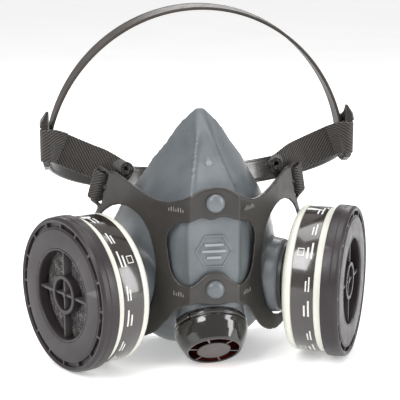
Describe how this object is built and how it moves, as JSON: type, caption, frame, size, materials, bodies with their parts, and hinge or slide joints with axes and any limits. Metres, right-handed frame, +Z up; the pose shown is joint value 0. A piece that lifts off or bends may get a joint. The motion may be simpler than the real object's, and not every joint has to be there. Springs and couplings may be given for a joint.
{
  "type": "half-mask respirator",
  "caption": "Reusable rubber half-mask respirator with yoke, twin screw-on filter cartridges, pull-off filter retainers, exhalation valve and adjustable head cradle.",
  "frame": {"origin": "middle of the underside of the whole mask, on the surface it stands on", "axes": "+Z up, -Y is the way the wearer looks, +X to the wearer's left; the mask is symmetric about X = 0"},
  "size_m": [0.2132, 0.16, 0.2064],
  "materials": {
    "facepiece_rubber": "satin blue-grey moulded rubber",
    "yoke_rubber": "satin dark brown-grey",
    "valve_seat_plastic": "moulded red-brown",
    "valve_rubber": "red silicone",
    "guard_plastic": "gloss black",
    "cradle_plastic": "satin taupe",
    "strap_fabric": "woven elastic",
    "connector_plastic": "black",
    "gasket_rubber": "black",
    "cartridge_plastic": "cream",
    "screen_paper": "nonwoven screen",
    "sorbent_charcoal": "granular coconut-shell charcoal",
    "label_film": "gloss printed film",
    "filter_felt": "speckled grey felt",
    "retainer_plastic": "satin dark purple-grey"
  },
  "bodies": {
    "mask": {"facepiece": "facepiece_rubber", "yoke": "yoke_rubber", "exhalation_seat": "valve_seat_plastic", "port_connector_right": "connector_plastic", "strap_loop_right": "strap_fabric", "port_connector_left": "connector_plastic", "strap_loop_left": "strap_fabric"},
    "exhalation_flap": {"exhalation_flap": "valve_rubber"},
    "exhalation_guard": {"exhalation_guard": "guard_plastic"},
    "head_harness": {"head_cradle": "cradle_plastic", "head_strap_right": "strap_fabric", "head_strap_left": "strap_fabric"},
    "inhalation_flap_right": {"inhalation_flap_right": "valve_rubber"},
    "gasket_right": {"connector_gasket_right": "gasket_rubber"},
    "cartridge_right": {"cartridge_bowl_right": "cartridge_plastic", "outlet_screen_right": "screen_paper", "sorbent_bed_right": "sorbent_charcoal", "inlet_screen_right": "screen_paper", "cartridge_lid_right": "cartridge_plastic", "cartridge_label_right": "label_film", "filter_pad_right": "filter_felt"},
    "retainer_right": {"filter_retainer_right": "retainer_plastic"},
    "inhalation_flap_left": {"inhalation_flap_left": "valve_rubber"},
    "gasket_left": {"connector_gasket_left": "gasket_rubber"},
    "cartridge_left": {"cartridge_bowl_left": "cartridge_plastic", "outlet_screen_left": "screen_paper", "sorbent_bed_left": "sorbent_charcoal", "inlet_screen_left": "screen_paper", "cartridge_lid_left": "cartridge_plastic", "cartridge_label_left": "label_film", "filter_pad_left": "filter_felt"},
    "retainer_left": {"filter_retainer_left": "retainer_plastic"}
  },
  "joints": [
    {"name": "harness_tilt", "type": "hinge", "parent": "mask", "child": "head_harness", "pos_m": [0, 0.00288, 0.1125], "axis": [1, 0, 0], "range_deg": [-30, 35]},
    {"name": "exhalation_flap_lift", "type": "slide", "parent": "mask", "child": "exhalation_flap", "axis": [0, -0.7071, -0.7071], "range_m": [0, 0.0015], "stiffness_N_per_m": 60, "springref_m": -0.0005},
    {"name": "exhalation_guard_pull", "type": "slide", "parent": "mask", "child": "exhalation_guard", "axis": [0, -0.7071, -0.7071], "range_m": [0, 0.022]},
    {"name": "inhalation_flap_right_lift", "type": "slide", "parent": "mask", "child": "inhalation_flap_right", "axis": [-0.8829, 0.4695, 0], "range_m": [0, 0.0015], "stiffness_N_per_m": 60, "springref_m": -0.0005},
    {"name": "cartridge_right_advance", "type": "slide", "parent": "mask", "child": "gasket_right", "axis": [0.8829, -0.4695, 0], "range_m": [0, 0.0061]},
    {"name": "cartridge_right_unscrew", "type": "hinge", "parent": "gasket_right", "child": "cartridge_right", "pos_m": [0.086, -0.04092, 0.045], "axis": [0.8829, -0.4695, 0], "range_deg": [0, 540]},
    {"name": "retainer_right_pull", "type": "slide", "parent": "cartridge_right", "child": "retainer_right", "axis": [0.8829, -0.4695, 0], "range_m": [0, 0.015]},
    {"name": "inhalation_flap_left_lift", "type": "slide", "parent": "mask", "child": "inhalation_flap_left", "axis": [0.8829, 0.4695, 0], "range_m": [0, 0.0015], "stiffness_N_per_m": 60, "springref_m": -0.0005},
    {"name": "cartridge_left_advance", "type": "slide", "parent": "mask", "child": "gasket_left", "axis": [-0.8829, -0.4695, 0], "range_m": [0, 0.0061]},
    {"name": "cartridge_left_unscrew", "type": "hinge", "parent": "gasket_left", "child": "cartridge_left", "pos_m": [-0.086, -0.04092, 0.045], "axis": [-0.8829, -0.4695, 0], "range_deg": [0, 540]},
    {"name": "retainer_left_pull", "type": "slide", "parent": "cartridge_left", "child": "retainer_left", "axis": [-0.8829, -0.4695, 0], "range_m": [0, 0.015]}
  ],
  "couplings": [
    {"joint": "cartridge_right_advance", "follows": "cartridge_right_unscrew", "m_per_rad": 0.00063662},
    {"joint": "cartridge_left_advance", "follows": "cartridge_left_unscrew", "m_per_rad": 0.00063662}
  ]
}
